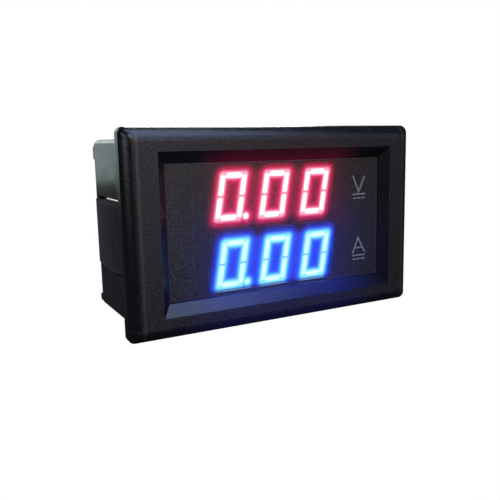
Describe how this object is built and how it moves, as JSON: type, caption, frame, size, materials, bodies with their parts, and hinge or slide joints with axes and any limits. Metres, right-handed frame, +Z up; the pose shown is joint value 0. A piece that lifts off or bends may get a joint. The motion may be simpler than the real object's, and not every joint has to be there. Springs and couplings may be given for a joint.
{
  "type": "digital panel meter",
  "caption": "Snap-in digital panel meter with a dark window, stacked voltage and current displays and an open rear bay with wire headers.",
  "frame": {"origin": "middle of the bezel flange's rear face, which lies against the panel", "axes": "+X to the right seen from the front, +Y back into the panel, +Z up"},
  "size_m": [0.048, 0.0212, 0.029],
  "materials": {
    "housing_plastic": "black moulded plastic, finely grained on the bezel face",
    "smoked_filter": "dark smoked acrylic with a fine matt grain",
    "display_plastic": "black face",
    "red_light": "diffusing resin, lit red",
    "blue_light": "diffusing resin, lit blue",
    "unlit_resin": "diffusing resin, off",
    "display_resin": "cast resin and laminate",
    "tinned_pin": "tinned",
    "board_laminate": "green solder mask",
    "solder": "bright solder",
    "chip_plastic": "moulded epoxy",
    "capacitor_ceramic": "tan ceramic",
    "resistor_coat": "black glaze",
    "shunt_alloy": "dull copper alloy",
    "header_nylon": "natural nylon",
    "trimmer_plastic": "blue moulded",
    "rotor_brass": "plated"
  },
  "bodies": {
    "meter": {"housing": "housing_plastic", "filter_window": "smoked_filter", "voltage_display_case": "display_plastic", "voltage_lit_segments": "red_light", "voltage_dark_segments": "unlit_resin", "voltage_display_base": "display_resin", "voltage_display_pins": "tinned_pin", "current_display_case": "display_plastic", "current_lit_segments": "blue_light", "current_dark_segments": "unlit_resin", "current_display_base": "display_resin", "current_display_pins": "tinned_pin", "circuit_board": "board_laminate", "solder_joints": "solder", "microcontroller": "chip_plastic", "microcontroller_leads": "tinned_pin", "amplifier_chip": "chip_plastic", "amplifier_chip_leads": "tinned_pin", "voltage_regulator": "chip_plastic", "voltage_regulator_leads": "tinned_pin", "protection_diode": "chip_plastic", "protection_diode_terminals": "tinned_pin", "chip_capacitors": "capacitor_ceramic", "chip_resistors": "resistor_coat", "chip_terminals": "solder", "current_shunt": "shunt_alloy", "voltage_header_base": "header_nylon", "voltage_header_pins": "tinned_pin", "current_header_base": "header_nylon", "current_header_pins": "tinned_pin", "voltage_trimmer_base": "trimmer_plastic", "current_trimmer_base": "trimmer_plastic", "trimmer_terminals": "tinned_pin"},
    "voltage_rotor": {"voltage_trimmer_rotor": "rotor_brass"},
    "current_rotor": {"current_trimmer_rotor": "rotor_brass"}
  },
  "joints": [
    {"name": "voltage_trim", "type": "hinge", "parent": "meter", "child": "voltage_rotor", "pos_m": [-0.0186, 0.0098, 0.0062], "axis": [0, 1, 0], "range_deg": [-125, 125]},
    {"name": "current_trim", "type": "hinge", "parent": "meter", "child": "current_rotor", "pos_m": [-0.0186, 0.0098, -0.0006], "axis": [0, 1, 0], "range_deg": [-125, 125]}
  ]
}
